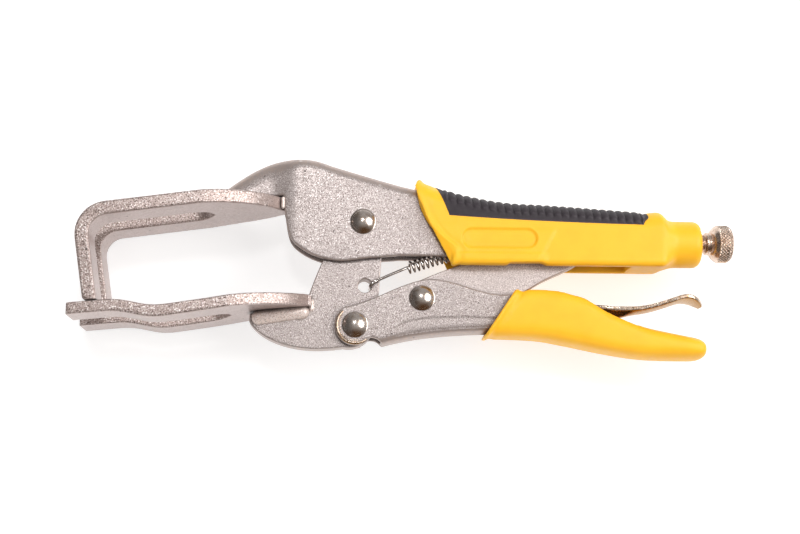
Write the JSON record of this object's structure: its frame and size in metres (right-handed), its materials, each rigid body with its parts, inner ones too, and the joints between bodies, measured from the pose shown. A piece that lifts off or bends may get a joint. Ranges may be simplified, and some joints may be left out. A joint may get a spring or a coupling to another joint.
{
  "type": "locking welding clamp",
  "caption": "Long-nosed locking clamp with forked U-shaped jaws, an over-centre toggle, a return spring, a release lever and a knurled adjusting screw, with moulded grips.",
  "frame": {"origin": "centre of the closed clamp's bounding box", "axes": "+X from the jaws to the adjusting knob, +Y from the lower handle to the upper handle, +Z across the tool along every pivot; the tool lies on its side"},
  "size_m": [0.2782, 0.0849, 0.052],
  "materials": {
    "cheek_steel": "satin nickel plate over pressed steel",
    "fork_steel": "satin nickel plate over blanked plate, rough sheared edges",
    "link_steel": "satin nickel plate, slightly speckled",
    "lever_steel": "bright pressed strip",
    "rivet_steel": "polished nickel plate",
    "screw_steel": "bright plated, knurled or threaded",
    "spring_wire": "bright drawn wire",
    "weld_bead": "plated weld bead",
    "yellow_grip": "moulded, fine satin grain",
    "soft_insert": "soft moulded, matte, ribbed"
  },
  "bodies": {
    "upper_handle": {"upper_body": "cheek_steel", "upper_jaw_fork": "fork_steel", "upper_jaw_weld": "weld_bead", "jaw_pivot_rivet": "rivet_steel", "spring_anchor_pin": "rivet_steel", "screw_bush": "rivet_steel", "upper_grip": "yellow_grip", "upper_grip_insert": "soft_insert", "return_spring": "spring_wire"},
    "lower_jaw": {"lower_jaw_plate": "cheek_steel", "lower_jaw_fork": "fork_steel", "lower_jaw_welds": "weld_bead"},
    "lower_handle": {"lower_handle": "cheek_steel", "lower_grip": "yellow_grip", "handle_pivot_rivet": "rivet_steel", "toggle_pivot_rivet": "rivet_steel", "release_lever_pin": "rivet_steel"},
    "toggle_link": {"toggle_link": "link_steel"},
    "release_lever": {"release_lever": "lever_steel"},
    "adjusting_screw": {"adjusting_screw": "screw_steel"},
    "knob": {"knurled_knob": "screw_steel"}
  },
  "joints": [
    {"name": "jaw_swing", "type": "hinge", "parent": "upper_handle", "child": "lower_jaw", "pos_m": [-0.02005, 0.01506, 0], "axis": [0, 0, 1], "range_deg": [0, 20], "deforming": ["return_spring"]},
    {"name": "handle_swing", "type": "hinge", "parent": "lower_jaw", "child": "lower_handle", "pos_m": [-0.02325, -0.02884, 0], "axis": [0, 0, 1], "range_deg": [-68.9, 0]},
    {"name": "link_swing", "type": "hinge", "parent": "lower_handle", "child": "toggle_link", "pos_m": [0.00475, -0.01734, 0], "axis": [0, 0, 1], "range_deg": [0, 73.3]},
    {"name": "lever_press", "type": "hinge", "parent": "lower_handle", "child": "release_lever", "pos_m": [0.05395, -0.02354, 0], "axis": [0, 0, 1], "range_deg": [-4.5, 0]},
    {"name": "knob_turn", "type": "hinge", "parent": "adjusting_screw", "child": "knob", "pos_m": [0.12995, 0.00836, 0], "axis": [1, 0, 0], "range_deg": [0, 5761]},
    {"name": "screw_travel", "type": "slide", "parent": "upper_handle", "child": "adjusting_screw", "axis": [1, 0, 0], "range_m": [0, 0.02]}
  ],
  "couplings": [
    {"joint": "handle_swing", "follows": "jaw_swing", "ratio": -3.44},
    {"joint": "link_swing", "follows": "jaw_swing", "ratio": 3.66},
    {"joint": "knob_turn", "follows": "screw_travel", "rad_per_m": 5026.5}
  ]
}
